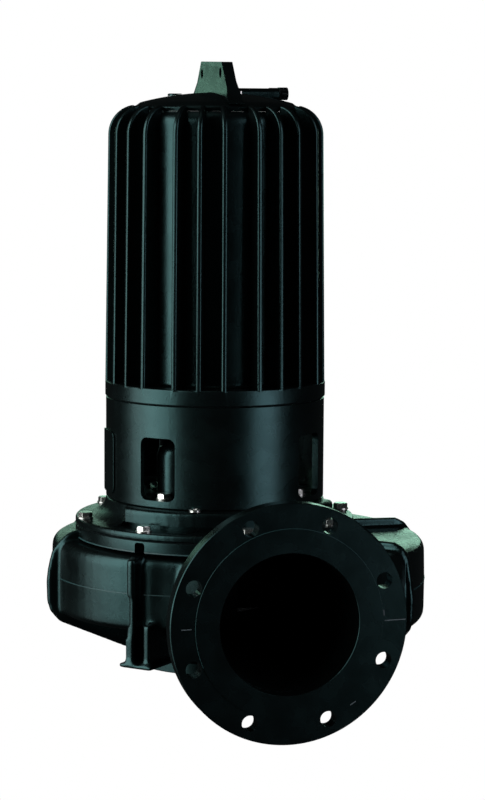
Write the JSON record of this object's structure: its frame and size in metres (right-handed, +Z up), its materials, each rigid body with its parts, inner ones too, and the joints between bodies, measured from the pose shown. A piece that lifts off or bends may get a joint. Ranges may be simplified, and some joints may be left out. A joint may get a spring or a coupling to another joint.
{
  "type": "submersible sewage pump",
  "caption": "Upright submersible pump with finned motor, window lantern, spiral casing and a flanged side discharge, for sewage and waste water.",
  "frame": {"origin": "on the raised face of the discharge flange, at its twelve o'clock, 117 mm above the bore's centre", "axes": "+Z up along the motor axis, -Y out of the discharge, +X to the right of someone who looks into the discharge"},
  "size_m": [0.5917, 0.7284, 0.947],
  "materials": {
    "paint": "black semi-gloss epoxy on cast iron",
    "steel": "plain stainless steel",
    "rubber": "matt black",
    "iron": "bare casting"
  },
  "bodies": {
    "root": {"motor_housing": "paint", "motor_cover": "paint", "lifting_lug": "paint", "cable_entry": "paint", "gland_nut": "steel", "gland_seal": "rubber", "vent_plug": "paint", "housing_seal": "rubber", "lantern": "paint", "window_cover": "paint", "lower_end_shield": "paint", "seal_housing": "paint", "shaft": "steel", "pump_cover": "paint", "oil_plug": "steel", "cover_gasket": "rubber", "volute_casing": "paint", "discharge_flange": "paint", "suction_ring": "paint", "impeller": "iron"}
  },
  "joints": []
}
